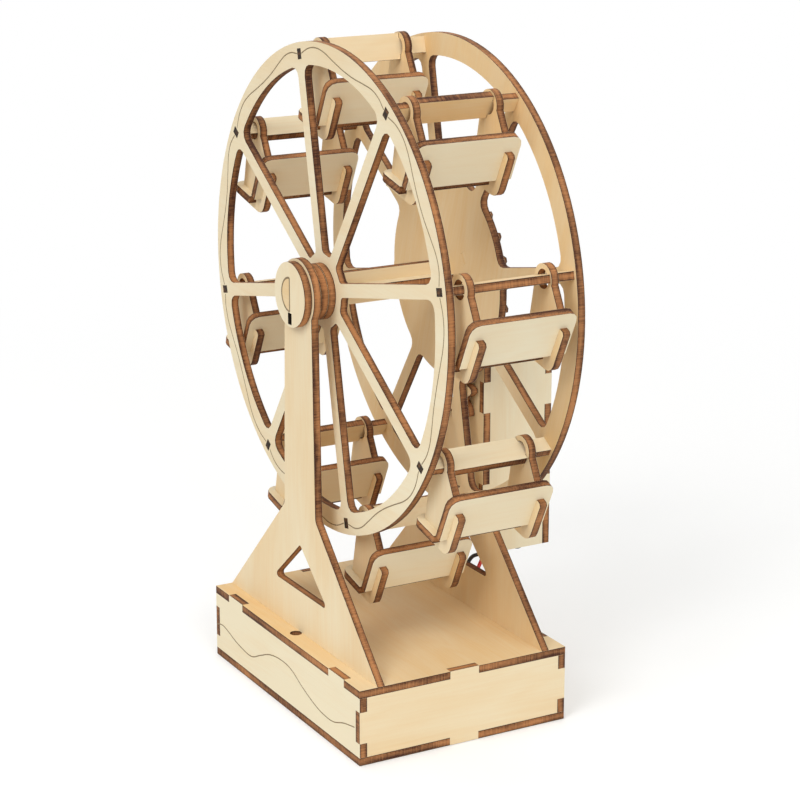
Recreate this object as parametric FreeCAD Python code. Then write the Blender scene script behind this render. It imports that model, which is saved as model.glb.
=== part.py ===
import FreeCAD, Part
import math
import os

os.makedirs("parts", exist_ok=True)
V = FreeCAD.Vector

# Sizes are in millimetres. X runs along the base, Y along the wheel's axle, Z up.
# The plain tower stands at -Y and the tower with the motor box at +Y.

# Plywood sheet, the clearances every joint uses, and how far a cut runs past
# the edge that it opens.
PLY = 2.5
GLUE_GAP = 0.03
RUN_GAP = 0.08
CUT_PAST = 1.0

# Small roundings are drawn as short straight cuts, this many to a corner, and
# plain discs as polygons; holes that turn on a shaft stay truly round.
CORNER_CUTS = 3
DISC_SIDES = 40
HOLE_SIDES = 16

# Base box.
BASE_LEN = 100.0
BASE_WID = 72.0
BASE_HGT = 24.0
SIDE_TAB = (30.0, 40.0)
END_TAB = (-5.0, 5.0)
CORNER_FINGER = (7.0, 17.0)
WIRE_HOLE_R = 1.9

# Wheel rings. The gear behind the rear ring is one sheet and the two washers
# before the front ring are two, so the rear ring stands one sheet further out.
FRONT_RING_IN = 18.9
FRONT_RING_OUT = FRONT_RING_IN + PLY
REAR_RING_IN = FRONT_RING_OUT
REAR_RING_OUT = REAR_RING_IN + PLY
RING_R = 75.0
RIM_W = 7.0
RIM_IN_R = RING_R - RIM_W
BAR_R = RING_R - RIM_W / 2
RIM_FILLET = 3.2
SPOKE_W = 4.2
FRONT_HUB_R = 11.6
FRONT_HUB_FILLET = 1.6
REAR_HUB_R = 32.5
STATIONS = 8
WHEEL_TURN = -11.6
WHEEL_SIDE_GAP = 1.1

# Towers stand just clear of the gear at the rear and of the washers in front.
TOWER_IN = REAR_RING_OUT + PLY + WHEEL_SIDE_GAP
TOWER_OUT = TOWER_IN + PLY
TOWER_TAB = (20.0, 30.0)
WHEEL_Z = 133.0
HEAD_R = 10.8
NECK_LOW = 10.4
NECK_TOP = 8.7
NECK_FILLET = 3.0
FOOT_RISE = 50.0
WINDOW_TOP = 53.0
WINDOW_FOOT = (18.3, 37.4)
WINDOW_R = 1.0
WIRE_HOLE_Y = (TOWER_OUT + BASE_WID / 2 - PLY) / 2

# Axle: two strips slotted into each other as a cross whose corners lie on this radius.
AXLE_R = 5.2
AXLE_W = 2 * math.sqrt(AXLE_R ** 2 - (PLY / 2) ** 2)
CAP_GAP = 0.2
CAP_R = 10.0
D_R = AXLE_R + GLUE_GAP
CAP_SLOT_LEN = 3.6
CAP_SLOT_GAP = 0.4
WASHER_R = 8.6
COLLAR_R = 7.0

# Gears: one module, one pressure angle, shared by both.
MODULE = 2.33
PRESSURE = math.radians(28.0)
GEAR_TEETH = 24
PINION_TEETH = 8
ADDENDUM = 0.85 * MODULE
DEDENDUM = 1.05 * MODULE
BACKLASH = 0.32
FLANK_CUTS = 3
GEAR_TURN = math.radians(-4.4)
CENTRES = MODULE * (GEAR_TEETH + PINION_TEETH) / 2
PINION_Z = WHEEL_Z - CENTRES
PINION_GAP = 0.6
PINION_Y = REAR_RING_OUT + PINION_GAP
PIN_COUNT = 4
PIN_TURN = 67.5
PIN_RADIUS = 13.6
PIN_W = 3.6

# Geared motor: flat housing, round can, the cup shaped strap that holds its far
# end, and a shaft with two flats.
GEARBOX_W = 22.5
GEARBOX_D = 18.8
GEARBOX_H = 43.5
GEARBOX_CORNER = 2.5
SHAFT_R = 2.7
SHAFT_FLAT = 1.85
SHAFT_DEEP = 12.0
SHAFT_FIT = 0.05
SHAFT_FROM_END = 11.3
MOTOR_FRONT_GAP = 0.4
MOTOR_BACK_GAP = 0.8
MOTOR_SIDE_GAP = 0.25
LUG_W = 5.0
LUG_H = 4.7
LUG_HOLE_R = 1.5
CAN_R = 10.0
CAN_FLAT = 7.7
CAN_LEN = 17.1
STRAP_T = 0.8
STRAP_W = 9.0
STRAP_END = 1.2
STRAP_RIM = 3.6
GEARBOX_IN = TOWER_OUT + MOTOR_FRONT_GAP
MOTOR_Y = GEARBOX_IN + GEARBOX_D / 2
GEARBOX_TOP = PINION_Z + SHAFT_FROM_END
GEARBOX_LOW = GEARBOX_TOP - GEARBOX_H
CAN_LOW = GEARBOX_LOW - CAN_LEN
STRAP_LOW = CAN_LOW - STRAP_END

# Motor box behind the rear tower, sized by the motor it holds.
BOX_HALF = GEARBOX_W / 2 + MOTOR_SIDE_GAP + PLY
BOX_TOP = GEARBOX_TOP + LUG_H + MOTOR_SIDE_GAP
BOX_FOOT = 2.4
BOX_LOW = CAN_LOW - BOX_FOOT
BOX_TAB = 10.0
BOX_TAB_LOW = 13.2
BOX_TAB_HIGH = 11.3
BOX_TABS = ((BOX_LOW + BOX_TAB_LOW, BOX_LOW + BOX_TAB_LOW + BOX_TAB),
            (BOX_TOP - BOX_TAB_HIGH - BOX_TAB, BOX_TOP - BOX_TAB_HIGH))
COVER_IN = GEARBOX_IN + GEARBOX_D + MOTOR_BACK_GAP
COVER_OUT = COVER_IN + PLY
WINDOW_W = 6.0
WINDOW_H = 5.0
WINDOW_UP = 20.2
NOTCH_W = 12.0
NOTCH_UP = 12.6
NOTCH_R = 2.6
SHAFT_HOLE_GAP = 1.3
SHAFT_HOLE_R = SHAFT_R + SHAFT_HOLE_GAP

# Bars between the rings; a cabin's ear turns on the corners of the neck.
BAR_MID_W = 8.0
BAR_NECK_W = 5.0
BAR_TAB_W = 3.2
PIVOT_GAP = 0.1

# Cabins, measured from the bar they hang on. The back and seat boards run
# outward from the low corner of a V; lengths along a board start at that corner.
PLATE_IN = 12.5
PLATE_PLAY = 0.2
CAB_HOLE_R = math.hypot(BAR_NECK_W / 2, PLY / 2) + PIVOT_GAP
EAR_WALL = 1.6
CAB_EAR_R = CAB_HOLE_R + EAR_WALL
EAR_SIDES = 24
CAB_NECK_HALF = 4.4
CAB_NECK_DROP = 1.3
CAB_CORNER_X = 2.8
CAB_CORNER_Z = -22.6
CAB_CORNER_R = 3.6
BACK_ANGLE = 64.0
SEAT_ANGLE = 167.0
BOARD_HALF = 17.5
BOARD_START = 1.8
BOARD_CORNER = 3.0
BACK_LEN = 17.0
BACK_ARM = 11.8
BACK_SLOT = 6.0
BACK_SHOULDER = 15.0
SEAT_LEN = 14.0
SEAT_ARM = 14.4
SEAT_SLOT = 6.6
SEAT_SHOULDER = 11.5
ARM_W = 2.4
ARM_CHAMFER = 0.7

# Battery tray, cells, switch and wires.
TRAY_LEN = 58.0
TRAY_WID = 31.0
TRAY_HGT = 15.0
TRAY_END_GAP = 3.5
TRAY_X = BASE_LEN / 2 - PLY - TRAY_END_GAP - TRAY_LEN / 2
TRAY_WALL = 1.2
TRAY_CORNER = 2.0
CELL_R = 7.0
CELL_LEN = 50.0
CELL_GAP = 0.1
NUB_R = 2.7
NUB_LEN = 1.2
SWITCH_Z = 12.0
SWITCH_DEEP = 6.0
SWITCH_WID = 13.0
SWITCH_HGT = 7.0
KNOB_W = 3.2
KNOB_H = 3.0
KNOB_OUT = 1.6
KNOB_IN = 2.0
KNOB_GAP = 0.3
KNOB_TRAVEL = 3.0
WIRE_D = 1.3
WIRE_SPLIT = 0.75
WIRE_SIDES = 6
BEND_SHARE = 0.45


def corner_edges(start, middle, end):
    """Short straight edges along the arc through three points."""
    points = Part.Arc(start, middle, end).toShape().discretize(Number=CORNER_CUTS + 1)
    points[0] = start
    points[-1] = end
    return [Part.LineSegment(a, b).toShape() for a, b in zip(points, points[1:])]


def rounded_face(points):
    """Flat face in the XY plane from (x, y, corner radius) points."""
    count = len(points)
    cuts = []
    for i in range(count):
        x, y, r = points[i]
        here = V(x, y, 0)
        before = V(points[i - 1][0], points[i - 1][1], 0) - here
        after = V(points[(i + 1) % count][0], points[(i + 1) % count][1], 0) - here
        before.normalize()
        after.normalize()
        if r <= 0:
            cuts.append((here, None, here))
            continue
        half = before.getAngle(after) / 2
        reach = r / math.tan(half)
        inward = before + after
        inward.normalize()
        middle = here + inward * (r / math.sin(half) - r)
        cuts.append((here + before * reach, middle, here + after * reach))
    edges = []
    for i in range(count):
        start, middle, end = cuts[i]
        if middle is not None:
            edges += corner_edges(start, middle, end)
        following = cuts[(i + 1) % count][0]
        if end.distanceToPoint(following) > 1e-6:
            edges.append(Part.LineSegment(end, following).toShape())
    return Part.Face(Part.Wire(edges))


def disc_face(radius, x=0.0, y=0.0):
    circle = Part.Circle(V(x, y, 0), V(0, 0, 1), radius)
    return Part.Face(Part.Wire(circle.toShape()))


def sided_face(radius, sides, x=0.0, y=0.0):
    """Polygon with its corners on the radius."""
    corners = []
    for i in range(sides + 1):
        a = 2 * math.pi * (i % sides + 0.5) / sides
        corners.append(V(x + radius * math.cos(a), y + radius * math.sin(a), 0))
    return Part.Face(Part.makePolygon(corners))


def sided_hole(radius, x=0.0, y=0.0):
    """Polygon that a round of this radius still passes through."""
    return sided_face(radius / math.cos(math.pi / HOLE_SIDES), HOLE_SIDES, x, y)


def box_face(x0, x1, y0, y1):
    return rounded_face([(x0, y0, 0), (x1, y0, 0), (x1, y1, 0), (x0, y1, 0)])


def tidy(shape):
    """Merge leftover seams and hand back the single solid inside."""
    shape = shape.removeSplitter()
    return shape.Solids[0] if len(shape.Solids) == 1 else shape


def thicken(face, thick):
    """Extrude every touching piece of a flat outline and join them."""
    solids = [f.extrude(V(0, 0, thick)) for f in face.Faces]
    whole = solids[0].fuse(solids[1:]) if len(solids) > 1 else solids[0]
    return tidy(whole)


def stand_xz(face, y_low, thick=PLY):
    """Extrude a flat face and stand it up in the XZ plane from y_low."""
    solid = thicken(face, thick)
    solid.rotate(V(0, 0, 0), V(1, 0, 0), 90)
    solid.translate(V(0, y_low + thick, 0))
    return solid


def stand_yz(face, x_low, thick=PLY):
    """Extrude a flat face and stand it up in the YZ plane from x_low."""
    solid = thicken(face, thick)
    solid.rotate(V(0, 0, 0), V(1, 0, 0), 90)
    solid.rotate(V(0, 0, 0), V(0, 0, 1), 90)
    solid.translate(V(x_low, 0, 0))
    return solid


def lay_xy(face, z_low, thick=PLY):
    solid = thicken(face, thick)
    solid.translate(V(0, 0, z_low))
    return solid


def spin(shape, degrees):
    """Turned copy in the flat plane, about the origin."""
    copy = shape.copy()
    copy.rotate(V(0, 0, 0), V(0, 0, 1), degrees)
    return copy


def shift(shape, x, y, z):
    copy = shape.copy()
    copy.translate(V(x, y, z))
    return copy


def export(shape, node):
    shape.exportStep("parts/%s.step" % node)
    solids = len(shape.Solids)
    print("%-28s solids %d valid %s volume %.1f" % (node, solids, shape.isValid(), shape.Volume))


# Base box: top, bottom, two long sides and two ends, all finger jointed.
half_l = BASE_LEN / 2
half_w = BASE_WID / 2
top_low = BASE_HGT - PLY
g = GLUE_GAP


def base_sheet(side_notches, tower_slots):
    face = box_face(-half_l, half_l, -half_w, half_w)
    for s in (-1, 1):
        end = sorted((s * (half_l - PLY - g), s * (half_l + CUT_PAST)))
        face = face.cut(box_face(end[0], end[1], END_TAB[0] - g, END_TAB[1] + g))
        edge = sorted((s * (half_w - PLY - g), s * (half_w + CUT_PAST)))
        slot = sorted((s * (TOWER_IN - g), s * (TOWER_OUT + g)))
        for m in (-1, 1):
            if side_notches:
                span = sorted((m * (SIDE_TAB[0] - g), m * (SIDE_TAB[1] + g)))
                face = face.cut(box_face(span[0], span[1], edge[0], edge[1]))
            if tower_slots:
                span = sorted((m * (TOWER_TAB[0] - g), m * (TOWER_TAB[1] + g)))
                face = face.cut(box_face(span[0], span[1], slot[0], slot[1]))
        if tower_slots:
            face = face.cut(sided_hole(WIRE_HOLE_R, 0, s * WIRE_HOLE_Y))
    return face


def base_side():
    """Long side: corner fingers at both ends and two tabs up through the top."""
    low, high = PLY, top_low
    face = box_face(-half_l, half_l, low, high)
    for s in (-1, 1):
        span = sorted((s * (half_l - PLY - g), s * (half_l + CUT_PAST)))
        face = face.cut(box_face(span[0], span[1], CORNER_FINGER[0] - g, CORNER_FINGER[1] + g))
        span = sorted((s * SIDE_TAB[0], s * SIDE_TAB[1]))
        face = face.fuse(box_face(span[0], span[1], high, BASE_HGT))
    return face


def base_end(with_slot):
    """Short end: middle fingers reach through the sides, tabs up and down."""
    low, high = PLY, top_low
    inner = half_w - PLY
    face = box_face(-inner + g, inner - g, low, high)
    face = face.fuse(box_face(-half_w, half_w, CORNER_FINGER[0], CORNER_FINGER[1]))
    face = face.fuse(box_face(END_TAB[0], END_TAB[1], 0, BASE_HGT))
    if with_slot:
        y = (KNOB_W + KNOB_TRAVEL) / 2 + KNOB_GAP
        z = KNOB_H / 2 + KNOB_GAP
        face = face.cut(box_face(-y, y, SWITCH_Z - z, SWITCH_Z + z))
    return face


export(lay_xy(base_sheet(True, True), top_low), "base_top_plate")
export(lay_xy(base_sheet(False, False), 0), "base_bottom_plate")
export(stand_xz(base_side(), -half_w), "base_front_side")
export(stand_xz(base_side(), half_w - PLY), "base_rear_side")
export(stand_yz(base_end(False), half_l - PLY), "base_end_plain")
export(stand_yz(base_end(True), -half_l), "base_end_switch")


# Towers: spread feet, straight neck and a round head around the axle hole.
def head_tangent(x, z):
    """Point where a line from (x, z) touches the head on its own side."""
    far = math.hypot(x, z - WHEEL_Z)
    lean = math.atan2(z - WHEEL_Z, abs(x)) + math.acos(HEAD_R / far)
    return (math.copysign(HEAD_R * math.cos(lean), x), WHEEL_Z + HEAD_R * math.sin(lean))


def tower_face(with_motor):
    """Right half of the outline from the foot up, mirrored for the left."""
    z0 = BASE_HGT
    half = BOX_HALF if with_motor else NECK_LOW
    right = [(half_l, z0, 0), (half, z0 + FOOT_RISE - half, NECK_FILLET)]
    if with_motor:
        touch = head_tangent(BOX_HALF, BOX_TOP)
        right += [(BOX_HALF, BOX_TOP, WINDOW_R), (touch[0], touch[1], 0)]
    else:
        right += [(NECK_TOP, WHEEL_Z, 0)]
    left = [(-x, z, r) for x, z, r in reversed(right)]
    face = rounded_face(right + left)
    face = face.fuse(disc_face(HEAD_R, 0, WHEEL_Z))
    for s in (-1, 1):
        span = sorted((s * TOWER_TAB[0], s * TOWER_TAB[1]))
        face = face.fuse(box_face(span[0], span[1], top_low, z0))
    face = face.cut(disc_face(AXLE_R + RUN_GAP, 0, WHEEL_Z))
    wx, wz = WINDOW_FOOT
    face = face.cut(rounded_face([(0, WINDOW_TOP, WINDOW_R), (-wx, wz, WINDOW_R), (wx, wz, WINDOW_R)]))
    if with_motor:
        face = face.cut(sided_hole(SHAFT_HOLE_R, 0, PINION_Z))
        for s in (-1, 1):
            span = sorted((s * (BOX_HALF - PLY - g), s * (BOX_HALF + g)))
            for low, high in BOX_TABS:
                face = face.cut(box_face(span[0], span[1], low - g, high + g))
    return face


export(stand_xz(tower_face(False), -TOWER_OUT), "front_tower")
export(stand_xz(tower_face(True), TOWER_IN), "rear_tower")


# Motor box: two side plates and a cover with a window and an open notch.
def box_side():
    face = box_face(TOWER_OUT, COVER_IN, BOX_LOW, BOX_TOP)
    for low, high in BOX_TABS:
        face = face.fuse(box_face(TOWER_IN, COVER_OUT, low, high))
    return face


def box_cover():
    face = box_face(-BOX_HALF, BOX_HALF, BOX_LOW, BOX_TOP)
    for s in (-1, 1):
        span = sorted((s * (BOX_HALF - PLY - g), s * (BOX_HALF + CUT_PAST)))
        for low, high in BOX_TABS:
            face = face.cut(box_face(span[0], span[1], low - g, high + g))
    z0 = BOX_LOW + WINDOW_UP
    face = face.cut(box_face(-WINDOW_W / 2, WINDOW_W / 2, z0, z0 + WINDOW_H))
    half = NOTCH_W / 2
    top = BOX_LOW + NOTCH_UP
    below = BOX_LOW - NOTCH_R
    notch = [(-half, below, 0), (half, below, 0), (half, top, NOTCH_R), (-half, top, NOTCH_R)]
    return face.cut(rounded_face(notch))


export(stand_yz(box_side(), BOX_HALF - PLY), "motor_box_side_right")
export(stand_yz(box_side(), -BOX_HALF), "motor_box_side_left")
export(stand_xz(box_cover(), COVER_IN), "motor_box_cover")


# Wheel rings: rim, eight spokes, hub, pin holes and bar holes.
def axle_profile(gap):
    thin, wide = PLY / 2 + gap, AXLE_W / 2 + gap
    return box_face(-thin, thin, -wide, wide).fuse(box_face(-wide, wide, -thin, thin))


def polar(radius, degrees):
    """Point at an angle counted from straight up toward +X."""
    a = math.radians(degrees)
    return V(radius * math.sin(a), radius * math.cos(a), 0)


def sector_window(hub_r, hub_corner, rim_corner):
    """Opening between two spokes, centred on straight up, corners rounded."""
    step = math.pi / STATIONS

    def limit(radius):
        return step - math.asin(SPOKE_W / 2 / radius)

    corners = []
    for radius, r, inward in ((hub_r, hub_corner, 1), (RIM_IN_R, rim_corner, -1)):
        mid_r = radius + inward * r
        side = limit(radius)
        turn = step - math.asin((SPOKE_W / 2 + r) / mid_r)
        centre = V(mid_r * math.sin(turn), mid_r * math.cos(turn), 0)
        on_arc = V(radius * math.sin(turn), radius * math.cos(turn), 0)
        along = V(math.sin(step), math.cos(step), 0)
        on_side = centre + V(along.y, -along.x, 0) * r
        between = (on_arc - centre) + (on_side - centre)
        between.normalize()
        corners.append((on_arc, centre + between * r, on_side, side))

    def mirror(p):
        return V(-p.x, p.y, 0)

    low, high = corners
    edges = [Part.Arc(mirror(low[0]), V(0, hub_r, 0), low[0]).toShape()]
    edges += corner_edges(low[0], low[1], low[2])
    edges += [Part.LineSegment(low[2], high[2]).toShape()]
    edges += corner_edges(high[2], high[1], high[0])
    edges += [Part.Arc(high[0], V(0, RIM_IN_R, 0), mirror(high[0])).toShape()]
    edges += corner_edges(mirror(high[0]), mirror(high[1]), mirror(high[2]))
    edges += [Part.LineSegment(mirror(high[2]), mirror(low[2])).toShape()]
    edges += corner_edges(mirror(low[2]), mirror(low[1]), mirror(low[0]))
    return Part.Face(Part.Wire(edges))


def pin_slots(gap):
    slots = []
    for k in range(PIN_COUNT):
        w, h = PIN_W / 2 + gap, PLY / 2 + gap
        slot = box_face(-w, w, PIN_RADIUS - h, PIN_RADIUS + h)
        slots.append(spin(slot, -(PIN_TURN + 360.0 / PIN_COUNT * k)))
    return slots


def ring_face(hub_r, hub_corner, with_pins):
    """Flat ring drawn about the origin with one spoke straight up."""
    face = disc_face(RING_R)
    window = sector_window(hub_r, hub_corner, RIM_FILLET)
    for k in range(STATIONS):
        face = face.cut(spin(window, 360.0 / STATIONS * (k + 0.5)))
        hole = box_face(-PLY / 2 - g, PLY / 2 + g, BAR_R - BAR_TAB_W / 2 - g, BAR_R + BAR_TAB_W / 2 + g)
        face = face.cut(spin(hole, 360.0 / STATIONS * k))
    if with_pins:
        for slot in pin_slots(g):
            face = face.cut(slot)
    turned = spin(face, -WHEEL_TURN)
    return turned.cut(axle_profile(g))


def on_wheel(face, y_low, thick=PLY):
    """Stand a wheel face up and lift it to the axle height."""
    return shift(stand_xz(face, y_low, thick), 0, 0, WHEEL_Z)


export(on_wheel(ring_face(FRONT_HUB_R, FRONT_HUB_FILLET, False), -FRONT_RING_OUT), "front_ring")
export(on_wheel(ring_face(REAR_HUB_R, RIM_FILLET, True), REAR_RING_IN), "rear_ring")


# Bars: wide in the middle, a narrower neck under each ear and a square tab.
def bar_face():
    middle = PLATE_IN - PLATE_PLAY
    face = box_face(-middle, middle, -BAR_MID_W / 2, BAR_MID_W / 2)
    face = face.fuse(box_face(-FRONT_RING_IN, REAR_RING_IN, -BAR_NECK_W / 2, BAR_NECK_W / 2))
    return face.fuse(box_face(-FRONT_RING_OUT, REAR_RING_OUT, -BAR_TAB_W / 2, BAR_TAB_W / 2))


def station(k):
    angle = WHEEL_TURN + 360.0 / STATIONS * k
    p = polar(BAR_R, angle)
    return V(p.x, 0, WHEEL_Z + p.y), angle


bar = shift(lay_xy(bar_face(), 0), 0, 0, -PLY / 2)
bar.rotate(V(0, 0, 0), V(0, 0, 1), 90)
bar.rotate(V(0, 0, 0), V(0, 1, 0), 90)
for k in range(STATIONS):
    place, angle = station(k)
    turned = bar.copy()
    turned.rotate(V(0, 0, 0), V(0, 1, 0), angle)
    turned.translate(place)
    export(tidy(turned), "bar_%d" % (k + 1))


# Axle: each strip is slotted from one end to the middle and pushed onto the other.
CAP_IN = TOWER_OUT + CAP_GAP
strip = Part.makeBox(PLY, 2 * CAP_IN, AXLE_W, V(-PLY / 2, -CAP_IN, -AXLE_W / 2))
slot = Part.makeBox(PLY + 2 * CUT_PAST, CAP_IN + CUT_PAST + g, PLY + 2 * g,
                    V(-PLY / 2 - CUT_PAST, -CAP_IN - CUT_PAST, -PLY / 2 - g))
upright = strip.cut(slot)
flat = upright.copy()
flat.rotate(V(0, 0, 0), V(0, 0, 1), 180)
flat.rotate(V(0, 0, 0), V(0, 1, 0), 90)
export(tidy(shift(upright, 0, 0, WHEEL_Z)), "axle_upright_strip")
export(tidy(shift(flat, 0, 0, WHEEL_Z)), "axle_flat_strip")


# Washers and the collar are keyed to the axle. Half round keys on its ends fill
# the opening of the front cap and of the spacer under the rear cap.
def washer_face(radius):
    return sided_face(radius, DISC_SIDES).cut(axle_profile(g))


def half_round(radius, flat):
    """Half of a round on the left of the line x = flat."""
    reach = radius + CUT_PAST
    return sided_hole(radius).common(box_face(-reach, flat, -reach, reach))


def cap_face(with_slot):
    face = sided_face(CAP_R, DISC_SIDES)
    face = face.cut(half_round(D_R, 0.0))
    if with_slot:
        low = -D_R - CAP_SLOT_GAP - CAP_SLOT_LEN
        face = face.cut(box_face(-PLY / 2, PLY / 2, low, low + CAP_SLOT_LEN))
    return face


washers = []
for index in (1, 2):
    washers.append(on_wheel(washer_face(WASHER_R), -FRONT_RING_OUT - index * PLY))
export(Part.makeCompound(washers), "axle_washers")
export(on_wheel(washer_face(COLLAR_R), -FRONT_RING_IN), "axle_collar")
key = half_round(AXLE_R, -g)
export(Part.makeCompound([on_wheel(key, -CAP_IN - PLY), on_wheel(key, CAP_IN)]), "axle_end_keys")
export(on_wheel(cap_face(True), -CAP_IN - PLY), "front_cap")
export(on_wheel(cap_face(True), CAP_IN + PLY), "rear_cap")
export(on_wheel(cap_face(False), CAP_IN), "rear_cap_spacer")


# Gears: involute flanks with a plain root, drawn about the origin.
def involute(base_r, radius):
    """Angle an involute has turned through by the time it reaches radius."""
    if radius <= base_r:
        return 0.0
    t = math.sqrt((radius / base_r) ** 2 - 1)
    return t - math.atan(t)


def gear_face(teeth, first_angle):
    pitch_r = MODULE * teeth / 2
    base_r = pitch_r * math.cos(PRESSURE)
    tip_r = pitch_r + ADDENDUM
    root_r = pitch_r - DEDENDUM
    start_r = max(base_r, root_r)
    half = (math.pi * MODULE / 2 - BACKLASH / 2) / 2 / pitch_r + involute(base_r, pitch_r)
    foot = half - involute(base_r, root_r)
    radii = [start_r + (tip_r - start_r) * i / FLANK_CUTS for i in range(FLANK_CUTS + 1)]
    edges = []
    last_root = None
    first_root = None
    for k in range(teeth):
        mid = first_angle + 2 * math.pi * k / teeth
        rise = [V(r * math.sin(mid - half + involute(base_r, r)),
                  r * math.cos(mid - half + involute(base_r, r)), 0) for r in radii]
        fall = [V(r * math.sin(mid + half - involute(base_r, r)),
                  r * math.cos(mid + half - involute(base_r, r)), 0) for r in reversed(radii)]
        foot_in = V(root_r * math.sin(mid - foot), root_r * math.cos(mid - foot), 0)
        foot_out = V(root_r * math.sin(mid + foot), root_r * math.cos(mid + foot), 0)
        if last_root is not None:
            edges.append(Part.LineSegment(last_root, foot_in).toShape())
        else:
            first_root = foot_in
        if start_r > root_r + 1e-6:
            edges.append(Part.LineSegment(foot_in, rise[0]).toShape())
        tooth = rise + fall
        edges += [Part.LineSegment(a, b).toShape() for a, b in zip(tooth, tooth[1:])]
        if start_r > root_r + 1e-6:
            edges.append(Part.LineSegment(fall[-1], foot_out).toShape())
        last_root = foot_out
    edges.append(Part.LineSegment(last_root, first_root).toShape())
    return Part.Face(Part.Wire(edges))


drive = gear_face(GEAR_TEETH, math.pi + GEAR_TURN)
for slot in pin_slots(g):
    drive = drive.cut(spin(slot, -WHEEL_TURN))
drive = drive.cut(axle_profile(g))
export(on_wheel(drive, REAR_RING_OUT), "drive_gear")

pins = []
for slot in pin_slots(0.0):
    pins.append(on_wheel(spin(slot, -WHEEL_TURN), REAR_RING_IN, 2 * PLY))
export(Part.makeCompound(pins), "gear_pins")


def shaft_profile(gap):
    r = SHAFT_R + gap
    flat = SHAFT_FLAT + gap
    return disc_face(r).common(box_face(-flat, flat, -r - CUT_PAST, r + CUT_PAST))


pinion_turn = math.pi / PINION_TEETH - GEAR_TURN * GEAR_TEETH / PINION_TEETH
small = gear_face(PINION_TEETH, pinion_turn).cut(shaft_profile(SHAFT_FIT))
export(shift(stand_xz(small, PINION_Y), 0, 0, PINION_Z), "pinion")


# Geared motor: housing with a lug, the can, the strap and the output shaft.
def rod_y(r, y0, y1, z):
    return Part.makeCylinder(r, y1 - y0, V(0, y0, z), V(0, 1, 0))


shaft_in = GEARBOX_IN + SHAFT_DEEP
shaft_out = PINION_Y - g
gear_half = GEARBOX_W / 2
outline = [(-gear_half, GEARBOX_LOW, 0), (gear_half, GEARBOX_LOW, 0),
           (gear_half, GEARBOX_TOP, GEARBOX_CORNER), (-gear_half, GEARBOX_TOP, GEARBOX_CORNER)]
housing = stand_xz(rounded_face(outline), GEARBOX_IN, GEARBOX_D)
lug_corner = V(-LUG_W / 2, MOTOR_Y - LUG_W / 2, GEARBOX_TOP - g)
housing = housing.fuse(Part.makeBox(LUG_W, LUG_W, LUG_H + g, lug_corner))
housing = housing.cut(rod_y(LUG_HOLE_R, MOTOR_Y - LUG_W, MOTOR_Y + LUG_W, GEARBOX_TOP + LUG_H / 2))
housing = housing.cut(rod_y(SHAFT_R + RUN_GAP, GEARBOX_IN - CUT_PAST, shaft_in + RUN_GAP, PINION_Z))
export(tidy(housing), "gearbox_housing")

shaft = rod_y(SHAFT_R, GEARBOX_IN, shaft_in, PINION_Z)
flats = shift(stand_xz(shaft_profile(0.0), shaft_out, GEARBOX_IN - shaft_out), 0, 0, PINION_Z)
export(tidy(shaft.fuse(flats)), "gearbox_shaft")


def can_face(r, flat):
    band = box_face(-r - CUT_PAST, r + CUT_PAST, MOTOR_Y - flat, MOTOR_Y + flat)
    return disc_face(r, 0, MOTOR_Y).common(band)


can = lay_xy(can_face(CAN_R, CAN_FLAT), CAN_LOW, CAN_LEN)
export(can, "motor_can")

# The strap is a cup under the can with a band up each round side to the housing.
strap_face = can_face(CAN_R + STRAP_T, CAN_FLAT + STRAP_T)
strap = lay_xy(strap_face, STRAP_LOW, STRAP_END + STRAP_RIM)
band_w = box_face(-CAN_R - CUT_PAST, CAN_R + CUT_PAST, MOTOR_Y - STRAP_W / 2, MOTOR_Y + STRAP_W / 2)
strap = strap.fuse(lay_xy(strap_face.common(band_w), CAN_LOW, CAN_LEN))
export(tidy(strap.cut(can)), "motor_strap")


# Cabins: two end plates carry a back and a seat board in crossed slots.
def board_axes(degrees, outward):
    a = math.radians(degrees)
    along = V(math.cos(a), 0, math.sin(a))
    normal = V(math.sin(a), 0, -math.cos(a)) * outward
    return along, normal


CAB_CORNER = V(CAB_CORNER_X, 0, CAB_CORNER_Z)
BACK = board_axes(BACK_ANGLE, 1)
SEAT = board_axes(SEAT_ANGLE, -1)


def cab_point(board, reach, off, corner=0):
    """Outline point at a distance along a board and off its middle plane."""
    along, normal = board
    p = CAB_CORNER + along * reach + normal * off
    return (p.x, p.z, corner)


def arm_points(board, arm, slot_end, shoulder):
    """Slot and outer arm of one board, from the shoulder round to the arm."""
    slot = PLY / 2 + g
    outer = PLY / 2 + ARM_W
    return [cab_point(board, shoulder, -slot), cab_point(board, slot_end, -slot),
            cab_point(board, slot_end, slot), cab_point(board, arm, slot),
            cab_point(board, arm, outer - ARM_CHAMFER), cab_point(board, arm - ARM_CHAMFER, outer)]


def cabin_plate_face():
    outer = PLY / 2 + ARM_W
    opening = math.radians(SEAT_ANGLE - BACK_ANGLE)
    corner = cab_point(BACK, -outer / math.tan(opening / 2), outer, CAB_CORNER_R)
    points = [(CAB_NECK_HALF, -CAB_NECK_DROP, 0)]
    points += arm_points(BACK, BACK_ARM, BACK_SLOT, BACK_SHOULDER)
    points += [corner]
    points += reversed(arm_points(SEAT, SEAT_ARM, SEAT_SLOT, SEAT_SHOULDER))
    points += [(-CAB_NECK_HALF, -CAB_NECK_DROP, 0)]
    face = rounded_face(points).fuse(sided_face(CAB_EAR_R, EAR_SIDES))
    return face.cut(disc_face(CAB_HOLE_R))


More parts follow.
